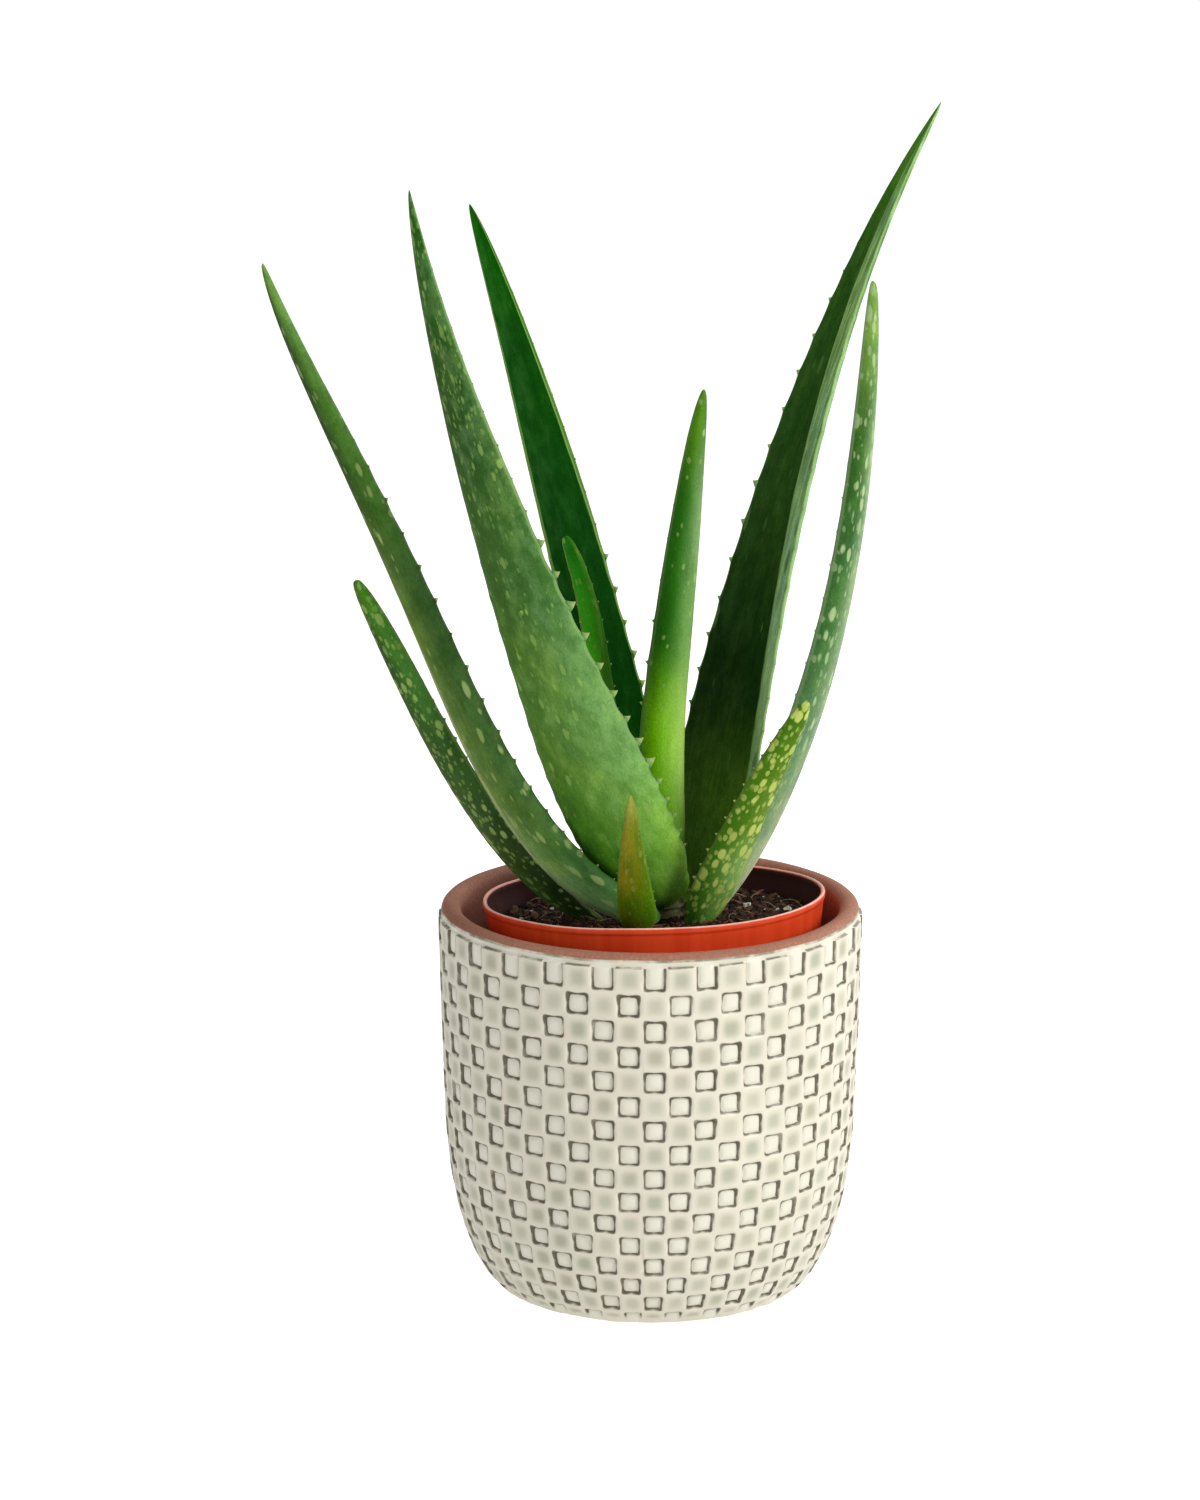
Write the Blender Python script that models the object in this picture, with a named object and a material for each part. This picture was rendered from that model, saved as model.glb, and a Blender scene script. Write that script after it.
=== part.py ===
"""Potted aloe: ten leaves on a short stem, in soil, in a plastic nursery pot inside a stoneware cachepot.

Metres, +Z up. The origin is the middle of the cachepot's foot, and the front of the plant faces -Y.
"""

import math

import bmesh
import bpy
from mathutils import Matrix, Vector
from mathutils.geometry import interpolate_bezier

MM = 0.001
GAP = 0.3 * MM  # between pieces that touch

# Cachepot
RIM_RADIUS = 74 * MM
RIM_HEIGHT = 140 * MM
RIM_WIDTH = 7.5 * MM  # across the bare ring at the top
RIM_DROP = 3 * MM  # the rim rounds off over this height
RIM_CROWN = 1 * MM  # how far the handles of its curve stand above it
FOOT_RADIUS = 47 * MM
FLOOR_THICKNESS = 6.5 * MM
SHOULDER = (73.6 * MM, 105 * MM)
# Bezier curves of (radius, height): the outside from the foot up, the inside from the wall down
BOWL = ((FOOT_RADIUS, 0), (60 * MM, 2 * MM), (71 * MM, 24 * MM), (72.2 * MM, 68 * MM))
HOLLOW = ((65 * MM, 68 * MM), (63 * MM, 20 * MM), (54 * MM, FLOOR_THICKNESS), (38 * MM, FLOOR_THICKNESS))
CACHEPOT_SEGMENTS = 60

# Nursery pot, measured from the top of its lip
LIP_RADIUS = 60 * MM
LIP_DEPTH = 3 * MM
LIP_OVERHANG = 1.2 * MM
LIP_ROUND = 0.5 * MM
FOOT_ROUND = 1 * MM
NURSERY_DEPTH = 127 * MM
NURSERY_FOOT_RADIUS = 44 * MM
NURSERY_WALL = 1.4 * MM
NURSERY_SEGMENTS = 48
DRILL_SEGMENTS = 12
LIP_CENTRE = Vector((1.2, 0, 142.3)) * MM
FRONT_UP = math.radians(3.5)  # the pot sits askew, higher at the front
RIGHT_UP = math.radians(1.7)  # and at the right
DRAIN_HOLES = 6
DRAIN_RADIUS = 4 * MM
DRAIN_RING = 30 * MM

# Soil, measured from the lip like the pot it fills
SOIL_BELOW_LIP = 8.5 * MM
SOIL_DISH = 1 * MM  # how far the surface falls towards the wall
SOIL_RINGS = ((0.8, 0.6), (0.5, 0.2), (0.25, 0))  # shares of the lip radius, and of the dish, on the surface

# Stem
STEM_AXIS = Vector((5, 0, 0)) * MM
STEM_FOOT = 134.8 * MM
STEM_TOP = 151 * MM
STEM_RADIUS = 6 * MM
STEM_FLARE = 0.5 * MM
STEM_FLARE_HEIGHT = 4 * MM
STEM_SEGMENTS = 20

# Leaves. Turns are compass turns in degrees, 0 along +X and 90 along +Y. A leaf starts at its root, goes
# out on its heading, and its tilt from upright runs from root to tip as a Bezier of four values. Its
# outer, bulging side looks along its face, at the root and at the tip. Lengths are in millimetres.
LEAVES = {
    "leaf_far_left": dict(
        root=(-7, -18, 142), heading=192, tilt=(62, -8, 43, 18), face=(239, 239),
        length=266, width=19, thickness=7, taper=0.53,
    ),
    "leaf_low_left": dict(
        root=(-26, -4, 138.5), heading=197, tilt=(50, 31, 21, 29), face=(222, 243),
        length=146, width=17, thickness=5, taper=0.34,
    ),
    "leaf_front_broad": dict(
        root=(2, -9, 148), heading=222, tilt=(34, 20, 27, 12), face=(268, 214),
        length=278, width=44, thickness=9, taper=0.73,
    ),
    "leaf_back_left": dict(
        root=(-1, 10, 147), heading=140, tilt=(12, 21, 19, 27), face=(132, 116),
        length=245, width=34, thickness=8, taper=0.64,
    ),
    "leaf_inner_left": dict(
        root=(-3, 2, 153), heading=158, tilt=(27, 3, -1, 28), face=(133, 125),
        length=119, width=14, thickness=4, taper=0.32,
    ),
    "leaf_centre": dict(
        root=(6, -2, 154), heading=320, tilt=(-16, 23, 1, 13), face=(305, 289),
        length=172, width=20, thickness=9, taper=0.49,
    ),
    "leaf_back_right": dict(
        root=(16, 8, 142), heading=40, tilt=(11, 17, 22, 41), face=(60, 29),
        length=295, width=40, thickness=9, taper=0.74,
    ),
    "leaf_right_curved": dict(
        root=(19.5, -2.6, 138), heading=348, tilt=(33, 17, 4, 3), face=(319, 319),
        length=234, width=17, thickness=7, taper=0.39,
    ),
    "leaf_low_right": dict(
        root=(17, -13.8, 137.5), heading=318, tilt=(28, 28, 29, 34), face=(292, 300),
        length=98, width=18, thickness=5, taper=0.36,
    ),
    "leaf_front_small": dict(
        root=(-3.5, -27, 137.8), heading=258, tilt=(40, 20, 6, 1), face=(270, 270),
        length=54, width=16, thickness=4, taper=0.65,
    ),
}
LEAF_RINGS = 16
STEPS_PER_RING = 6
BELLY_POINTS = 7  # around the outer side, margin to margin
HOLLOW_POINTS = 3  # across the hollowed inner side, between the margins
HOLLOW_SHARE = 0.25  # its depth, as a share of the leaf's thickness
ROOT_SHARE = 0.55  # width at the root, as a share of the full width
ROOT_SWELL = 0.07  # share of the length in which a leaf widens from its root
BULGE_POWER = 0.7  # a leaf thins out more slowly than it narrows

TERRACOTTA = (0.36, 0.17, 0.12)
ORANGE_PLASTIC = (0.72, 0.13, 0.03)
SOIL_BROWN = (0.03, 0.018, 0.012)
STEM_BROWN = (0.16, 0.11, 0.06)
LEAF_GREEN = (0.10, 0.24, 0.06)


def clear_scene():
    for obj in list(bpy.data.objects):
        bpy.data.objects.remove(obj, do_unlink=True)


def new_material(name, colour, roughness):
    material = bpy.data.materials.new(name)
    material.use_nodes = True
    shader = material.node_tree.nodes["Principled BSDF"]
    shader.inputs["Base Color"].default_value = (*colour, 1)
    shader.inputs["Roughness"].default_value = roughness
    shader.inputs["Metallic"].default_value = 0
    return material


def add_object(name, mesh_maker, material, crease=40):
    """An object from a bmesh, with its faces turned outwards and shaded smooth up to the crease angle."""
    bmesh.ops.remove_doubles(mesh_maker, verts=mesh_maker.verts, dist=0.001 * MM)
    bmesh.ops.recalc_face_normals(mesh_maker, faces=mesh_maker.faces)
    mesh = bpy.data.meshes.new(name)
    mesh_maker.to_mesh(mesh)
    mesh_maker.free()
    mesh.materials.append(material)
    mesh.shade_smooth()
    mesh.set_sharp_from_angle(angle=math.radians(crease))
    obj = bpy.data.objects.new(name, mesh)
    bpy.context.scene.collection.objects.link(obj)
    return obj


def turned(name, outline, segments, material):
    """A solid of revolution: the outline is (radius, height) points from the axis, round, and back to it."""
    maker = bmesh.new()
    points = [maker.verts.new((radius, 0, height)) for radius, height in outline]
    edges = [maker.edges.new(pair) for pair in zip(points, points[1:])]
    bmesh.ops.spin(
        maker, geom=points + edges, cent=(0, 0, 0), axis=(0, 0, 1), angle=math.tau, steps=segments
    )
    return add_object(name, maker, material)


def curve(points, count):
    """(radius, height) points along a Bezier curve, its ends included."""
    corners = [Vector((*point, 0)) for point in points]
    return [(point.x, point.y) for point in interpolate_bezier(*corners, count)]


def cachepot(material):
    opening = RIM_RADIUS - RIM_WIDTH
    rim = (
        (RIM_RADIUS, RIM_HEIGHT - RIM_DROP),
        (RIM_RADIUS, RIM_HEIGHT + RIM_CROWN),
        (opening, RIM_HEIGHT + RIM_CROWN),
        (opening, RIM_HEIGHT - RIM_DROP),
    )
    below_rim = (RIM_RADIUS, RIM_HEIGHT - RIM_DROP - 1 * MM)
    outside = [*curve(BOWL, 9), SHOULDER, below_rim]
    outline = [(0, 0), *outside, *curve(rim, 7), *curve(HOLLOW, 8), (0, FLOOR_THICKNESS)]
    return turned("cachepot", outline, CACHEPOT_SEGMENTS, material)


def wall_radius(depth):
    """The nursery pot's outer radius at a depth below its lip."""
    top = LIP_RADIUS - LIP_OVERHANG
    return top + (NURSERY_FOOT_RADIUS - top) * depth / NURSERY_DEPTH


def nursery_pot(tilt, material):
    under_lip = LIP_DEPTH + LIP_ROUND
    floor = -NURSERY_DEPTH + NURSERY_WALL
    opening = LIP_RADIUS - LIP_OVERHANG - NURSERY_WALL
    outline = [
        (0, -NURSERY_DEPTH),
        (NURSERY_FOOT_RADIUS - FOOT_ROUND, -NURSERY_DEPTH),
        (wall_radius(NURSERY_DEPTH - FOOT_ROUND), -NURSERY_DEPTH + FOOT_ROUND),
        (wall_radius(under_lip), -under_lip),
        (LIP_RADIUS, -LIP_DEPTH),
        (LIP_RADIUS, -LIP_ROUND),
        (LIP_RADIUS - LIP_ROUND, 0),
        (opening + LIP_ROUND, 0),
        (opening, -LIP_ROUND),
        (wall_radius(-floor) - NURSERY_WALL, floor),
        (0, floor),
    ]
    pot = turned("nursery_pot", outline, NURSERY_SEGMENTS, material)
    pot.parent = tilt
    drill = drain_drill(tilt)
    cut = pot.modifiers.new("drain holes", "BOOLEAN")
    cut.operation = "DIFFERENCE"
    cut.solver = "EXACT"
    cut.object = drill
    return pot


def drain_drill(tilt):
    """Six short rods through the floor of the nursery pot, which the pot is cut with."""
    maker = bmesh.new()
    for hole in range(DRAIN_HOLES):
        turn = math.tau * hole / DRAIN_HOLES
        place = Matrix.Translation(
            (DRAIN_RING * math.cos(turn), DRAIN_RING * math.sin(turn), -NURSERY_DEPTH)
        )
        bmesh.ops.create_cone(
            maker, cap_ends=True, segments=DRILL_SEGMENTS, radius1=DRAIN_RADIUS, radius2=DRAIN_RADIUS,
            depth=6 * NURSERY_WALL, matrix=place,
        )
    mesh = bpy.data.meshes.new("drain_drill")
    maker.to_mesh(mesh)
    maker.free()
    drill = bpy.data.objects.new("drain_drill", mesh)
    bpy.context.scene.collection.objects.link(drill)
    drill.parent = tilt
    drill.hide_render = True
    drill.display_type = "WIRE"
    return drill


def potting_soil(tilt, material):
    inset = NURSERY_WALL + GAP
    bottom = NURSERY_DEPTH - NURSERY_WALL - GAP
    edge = SOIL_BELOW_LIP + SOIL_DISH
    outline = [
        (0, -bottom),
        (wall_radius(bottom) - inset, -bottom),
        (wall_radius(edge) - inset, -edge),
        *[(out * LIP_RADIUS, -SOIL_BELOW_LIP - fall * SOIL_DISH) for out, fall in SOIL_RINGS],
        (0, -SOIL_BELOW_LIP),
    ]
    soil = turned("potting_soil", outline, NURSERY_SEGMENTS, material)
    soil.parent = tilt
    return soil


def crown_stem(material):
    outline = [
        (0, STEM_FOOT),
        (STEM_RADIUS + STEM_FLARE, STEM_FOOT),
        (STEM_RADIUS, STEM_FOOT + STEM_FLARE_HEIGHT),
        (STEM_RADIUS - 2 * STEM_FLARE, STEM_TOP - 2 * STEM_FLARE),
        (STEM_RADIUS - 4 * STEM_FLARE, STEM_TOP),
        (0, STEM_TOP),
    ]
    stem = turned("crown_stem", outline, STEM_SEGMENTS, material)
    stem.location = STEM_AXIS
    return stem


def share_of_width(along, taper):
    """Width at a share of the length: a quick swell from the root, then a taper to the tip."""
    swell = 1 - (1 - ROOT_SHARE) * math.exp(-along / ROOT_SWELL)
    return (1 - along) ** taper * swell


def bezier_value(values, along):
    back = 1 - along
    weights = (back**3, 3 * along * back**2, 3 * along**2 * back, along**3)
    return sum(value * weight for value, weight in zip(values, weights))


def leaf_direction(leaf, along):
    tilt = math.radians(bezier_value(leaf["tilt"], along))
    heading = math.radians(leaf["heading"])
    return Vector((math.sin(tilt) * math.cos(heading), math.sin(tilt) * math.sin(heading), math.cos(tilt)))


def leaf_spine(leaf):
    """Points along the middle of the leaf, one for each ring and one for the tip."""
    steps = LEAF_RINGS * STEPS_PER_RING
    place = Vector(leaf["root"]) * MM
    spine = [place.copy()]
    for step in range(steps):
        place += leaf_direction(leaf, (step + 0.5) / steps) * leaf["length"] * MM / steps
        if (step + 1) % STEPS_PER_RING == 0:
            spine.append(place.copy())
    return spine


def leaf_ring(leaf, centre, along):
    """One cross-section: a bulging outer side, two margins, and a slightly hollow inner side."""
    first, last = leaf["face"]
    face = math.radians(first + (last - first) * along)
    direction = leaf_direction(leaf, along)
    outward = Vector((math.cos(face), math.sin(face), 0))
    outward = (outward - direction * outward.dot(direction)).normalized()
    across = direction.cross(outward)
    share = share_of_width(along, leaf["taper"])
    half_width = leaf["width"] / 2 * share * MM
    bulge = leaf["thickness"] * share**BULGE_POWER * MM
    ring = []
    for point in range(BELLY_POINTS):
        turn = math.pi * point / (BELLY_POINTS - 1)
        ring.append(centre + across * half_width * math.cos(turn) + outward * bulge * math.sin(turn))
    for point in range(1, HOLLOW_POINTS + 1):
        side = -1 + 2 * point / (HOLLOW_POINTS + 1)
        ring.append(centre + across * half_width * side + outward * bulge * HOLLOW_SHARE * (1 - side**2))
    return ring


def leaf(name, plan, material):
    spine = leaf_spine(plan)
    maker = bmesh.new()
    rings = []
    for number, centre in enumerate(spine[:-1]):
        ring = leaf_ring(plan, centre, number / LEAF_RINGS)
        rings.append([maker.verts.new(point) for point in ring])
    for low, high in zip(rings, rings[1:]):
        for a in range(len(low)):
            b = (a + 1) % len(low)
            maker.faces.new((low[a], low[b], high[b], high[a]))
    tip = maker.verts.new(spine[-1])
    for a in range(len(rings[-1])):
        b = (a + 1) % len(rings[-1])
        maker.faces.new((rings[-1][a], rings[-1][b], tip))
    maker.faces.new(list(reversed(rings[0])))
    return add_object(name, maker, material, crease=70)


def main():
    clear_scene()
    tilt = bpy.data.objects.new("nursery_tilt", None)
    bpy.context.scene.collection.objects.link(tilt)
    tilt.location = LIP_CENTRE
    tilt.rotation_euler = (-FRONT_UP, -RIGHT_UP, 0)
    cachepot(new_material("stoneware", TERRACOTTA, 0.6))
    nursery_pot(tilt, new_material("orange_plastic", ORANGE_PLASTIC, 0.45))
    potting_soil(tilt, new_material("soil", SOIL_BROWN, 0.95))
    crown_stem(new_material("stem_fibre", STEM_BROWN, 0.8))
    green = new_material("leaf_green", LEAF_GREEN, 0.45)
    for name, plan in LEAVES.items():
        leaf(name, plan, green)


main()
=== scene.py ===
import math
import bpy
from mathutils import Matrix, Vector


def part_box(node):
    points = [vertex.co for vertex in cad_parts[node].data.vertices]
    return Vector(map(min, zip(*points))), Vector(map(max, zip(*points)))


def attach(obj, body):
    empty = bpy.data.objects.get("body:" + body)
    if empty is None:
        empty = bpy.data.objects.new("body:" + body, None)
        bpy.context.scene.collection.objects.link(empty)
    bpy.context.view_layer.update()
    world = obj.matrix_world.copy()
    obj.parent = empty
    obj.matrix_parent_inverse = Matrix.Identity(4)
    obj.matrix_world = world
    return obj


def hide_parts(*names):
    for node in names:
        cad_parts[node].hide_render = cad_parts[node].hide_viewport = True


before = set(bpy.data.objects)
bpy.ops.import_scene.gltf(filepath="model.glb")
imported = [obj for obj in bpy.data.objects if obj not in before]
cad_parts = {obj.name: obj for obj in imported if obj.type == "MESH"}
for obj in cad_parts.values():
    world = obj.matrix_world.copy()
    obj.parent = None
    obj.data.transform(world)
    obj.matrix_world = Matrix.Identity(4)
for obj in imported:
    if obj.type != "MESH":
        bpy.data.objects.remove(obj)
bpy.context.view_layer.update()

from types import SimpleNamespace

import bmesh
import bpy
import numpy as np
from mathutils import Euler, Matrix, Vector, noise
from mathutils.geometry import interpolate_bezier

scene = bpy.context.scene
mm = 0.001


def paint(red, green, blue):
    # a screen colour, each part 0 to 255, as the nodes want it
    parts = [part / 255 for part in (red, green, blue)]
    return (*[p / 12.92 if p < 0.04 else ((p + 0.055) / 1.055) ** 2.4 for p in parts], 1)


# ways to wire nodes, for materials and for Geometry Nodes alike

bench = dict(tree=None)  # the node tree being wired


class Wire:
    # what comes out of a node: sums on it make Math nodes
    def __init__(self, socket):
        self.socket = socket

    def __abs__(self):
        return calc("ABSOLUTE", self)


def sumNode(operation, swapped):
    return lambda one, other: calc(operation, *((other, one) if swapped else (one, other)))


sums = dict(add="ADD", sub="SUBTRACT", mul="MULTIPLY", truediv="DIVIDE", mod="MODULO", pow="POWER")
for word, operation in sums.items():
    setattr(Wire, f"__{word}__", sumNode(operation, False))
    setattr(Wire, f"__r{word}__", sumNode(operation, True))


def feed(socket, value):
    if isinstance(value, Wire):
        bench["tree"].links.new(value.socket, socket)
    else:
        socket.default_value = value


def node(kind, wires=(), **settings):
    made = bench["tree"].nodes.new(kind)
    for label, value in settings.items():
        setattr(made, label, value)
    for label, value in dict(wires).items():
        feed(made.inputs[label], value)
    return made


def add(kind, wires=(), out=0, **settings):
    return Wire(node(kind, wires, **settings).outputs[out])


def calc(operation, *values):
    return add("ShaderNodeMath", dict(enumerate(values)), operation=operation)


def vectorCalc(operation, *values):
    return add("ShaderNodeVectorMath", dict(enumerate(values)), operation=operation)


def vectorOf(*parts):
    return add("ShaderNodeCombineXYZ", dict(enumerate(parts)))


def partsOf(vector):
    return [Wire(part) for part in node("ShaderNodeSeparateXYZ", {0: vector}).outputs]


def ease(value, start, end, low=0.0, high=1.0):
    # low up to start, high from end on, and a soft change between them
    wires = {0: value, 1: start, 2: end, 3: low, 4: high}
    return add("ShaderNodeMapRange", wires, interpolation_type="SMOOTHSTEP")


def choose(switch, yes, no):
    return add("ShaderNodeMix", {0: switch, 2: no, 3: yes})


def mix(share, first, second, blend="MIX"):
    return add("ShaderNodeMix", {0: share, 6: first, 7: second}, out=2, data_type="RGBA", blend_type=blend)


def cloud(place, scale, detail=2.0, roughness=0.5, out=0):
    wires = {"Vector": place, "Scale": scale, "Detail": detail, "Roughness": roughness}
    return add("ShaderNodeTexNoise", wires, out)


def rampOf(value, stops):
    made = node("ShaderNodeValToRGB", {0: value})
    made.color_ramp.interpolation = "EASE"
    stones = made.color_ramp.elements
    stones[0].position, stones[0].color = stops[0]
    stones[1].position, stones[1].color = stops[-1]
    for position, colour in stops[1:-1]:
        stones.new(position).color = colour
    return Wire(made.outputs[0])


def attribute(label, out=2):
    return add("ShaderNodeAttribute", out=out, attribute_name=label)


def chance(low, high, seed):
    return add("FunctionNodeRandomValue", {2: low, 3: high, "Seed": seed}, out=1, data_type="FLOAT")


def objectPlace():
    return add("ShaderNodeTexCoord", out=3)


def newMaterial(name):
    material = bpy.data.materials.new(name)
    material.use_nodes = True
    bench["tree"] = material.node_tree
    return material, material.node_tree.nodes["Principled BSDF"]


def coat(shader, colour, roughness, height, depth, **fixed):
    # colour, roughness and bump from nodes; depth is the bump's height in metres
    feed(shader.inputs["Base Color"], colour)
    feed(shader.inputs["Roughness"], roughness)
    bump = add("ShaderNodeBump", {"Height": height, "Distance": depth, "Strength": 1.0})
    feed(shader.inputs["Normal"], bump)
    for label, value in fixed.items():
        shader.inputs[label.replace("_", " ")].default_value = value


def newNodeTree(name, **inputs):
    # inputs by name: a number, or the word material or object
    tree = bench["tree"] = bpy.data.node_groups.new(name, "GeometryNodeTree")
    tree.interface.new_socket("Geometry", in_out="OUTPUT", socket_type="NodeSocketGeometry")
    tree.interface.new_socket("Geometry", in_out="INPUT", socket_type="NodeSocketGeometry")
    kinds = {int: "Int", float: "Float", "material": "Material", "object": "Object"}
    for label, value in inputs.items():
        named = isinstance(value, str)
        kind = "NodeSocket" + kinds[value if named else type(value)]
        socket = tree.interface.new_socket(label, in_out="INPUT", socket_type=kind)
        if not named:
            socket.default_value = value
    given = tree.nodes.new("NodeGroupInput").outputs
    return SimpleNamespace(**{socket.name: Wire(socket) for socket in given if socket.name})


def store(shape, label, value, kind="FLOAT", domain="POINT"):
    wires = {"Geometry": shape, "Name": label, "Value": value}
    return add("GeometryNodeStoreNamedAttribute", wires, data_type=kind, domain=domain)


def finishTree(shape, material):
    whole = add("GeometryNodeRealizeInstances", {"Geometry": shape})
    output = node("NodeGroupOutput")
    feed(output.inputs[0], add("GeometryNodeSetMaterial", {"Geometry": whole, "Material": material}))
    return bench["tree"]


def plainMesh(piece):
    # the piece's shape with its modifiers applied
    graph = bpy.context.evaluated_depsgraph_get()
    return bpy.data.meshes.new_from_object(
        piece.evaluated_get(graph), preserve_all_data_layers=True, depsgraph=graph
    )


def runNodes(piece, tree, **values):
    # the tree's result becomes the piece's own plain mesh
    modifier = piece.modifiers.new(tree.name, "NODES")
    modifier.node_group = tree
    for item in tree.interface.items_tree:
        if item.in_out == "INPUT" and item.name in values:
            modifier[item.identifier] = values[item.name]
    shape = plainMesh(piece)
    piece.modifiers.remove(modifier)
    piece.data = shape
    shape.name = piece.name


def newPiece(name, shape, material=None):
    piece = bpy.data.objects.new(name, shape)
    scene.collection.objects.link(piece)
    if material:
        shape.materials.append(material)
    return piece


def handOver(piece, slot, *nodes):
    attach(piece, "root")
    if nodes:
        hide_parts(*nodes)


def meshOf(name, points, faces, smooth=True):
    shape = bpy.data.meshes.new(name)
    shape.from_pydata([tuple(point) for point in points], [], faces)
    if smooth:
        shape.shade_smooth()
    return shape


def storePoints(shape, label, values):
    values = np.asarray(values, dtype=np.float32)
    vector = values.ndim == 2
    layer = shape.attributes.new(label, "FLOAT_VECTOR" if vector else "FLOAT", "POINT")
    layer.data.foreach_set("vector" if vector else "value", values.ravel())


# view and light

view = dict(place=(0, -1.9313, 0.6597), lens=136.5, down=13.55, left=0.523)
camera = bpy.data.objects.new("camera", bpy.data.cameras.new("camera"))
camera.data.lens = view["lens"]
camera.data.sensor_width = 36
camera.location = view["place"]
camera.rotation_euler = (math.radians(90 - view["down"]), 0, math.radians(view["left"]))
scene.collection.objects.link(camera)
scene.camera = camera
scene.view_settings.view_transform = "Standard"

light = dict(
    key=dict(place=(1.2, -0.75, 0.85), size=0.8, power=16, colour=(1, 0.99, 0.96)),
    front=dict(place=(-1.2, -1.3, 0.7), size=1.2, power=6.2, colour=(0.98, 0.99, 1)),
    top=dict(place=(0.25, 0.1, 1.7), size=1.2, power=6, colour=(1, 1, 1)),
    rim=dict(place=(0.9, 0.9, 0.7), size=0.7, power=5, colour=(1, 1, 1)),
)
for name, lamp in light.items():
    made = bpy.data.lights.new(name + "Light", "AREA")
    made.shape, made.size, made.energy, made.color = "DISK", lamp["size"], lamp["power"], lamp["colour"]
    stand = bpy.data.objects.new(name + "Light", made)
    stand.location = lamp["place"]
    stand.rotation_euler = (Vector((0, 0, 0.2)) - stand.location).to_track_quat("-Z", "Y").to_euler()
    scene.collection.objects.link(stand)

world = bpy.data.worlds.new("studio")
world.use_nodes = True
sky = bench["tree"] = world.node_tree
skyGlow = dict(seen=1.0, lit=0.31)
glow = ease(add("ShaderNodeLightPath"), 0, 1, skyGlow["lit"], skyGlow["seen"])
feed(sky.nodes["Background"].inputs["Strength"], glow)
sky.nodes["Background"].inputs["Color"].default_value = (1, 1, 1, 1)
scene.world = world

paper = dict(seen=0.9, lit=0.36)
floorMaterial, shader = newMaterial("studioPaper")
grain = cloud(objectPlace(), 3.0, 3)
tone = mix(grain, (0.58, 0.58, 0.575, 1), (0.6, 0.6, 0.6, 1))
coat(shader, tone, ease(grain, 0.3, 0.7, 0.85, 0.9), grain, 0.1 * mm, Emission_Color=(1, 1, 1, 1))
feed(shader.inputs["Emission Strength"], ease(add("ShaderNodeLightPath"), 0, 1, paper["lit"], paper["seen"]))
halfFloor = 6
corners = [(x * halfFloor, y * halfFloor, -0.5 * mm) for x, y in ((-1, -1), (1, -1), (1, 1), (-1, 1))]
floor = newPiece("floor", meshOf("floor", corners, [(0, 1, 2, 3)]), floorMaterial)
print("camera, lights and floor are set")


# leaves

leafForm = dict(
    rings=200, bellyPoints=23, hollowPoints=11, hollowShare=0.25, edge=0.5,
    rootShare=0.55, rootSwell=0.07, heelRings=7,
)

# what a leaf has unless its plan says otherwise
leafHabit = dict(
    mottle=0.4, streaks=0.5, gloss=0.12, bloom=0.03, marginToward=0.0, spotsToward=0.0,
    spotReach=(0.16, 0.42), warm=(1.12, 0.92, 0.6), fold=None, heel=5, toothPitch=(5, 8),
    toothStart=(9, 7), toothFade=0.8, scallop=0.3, marginWidth=0.05,
)

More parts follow.
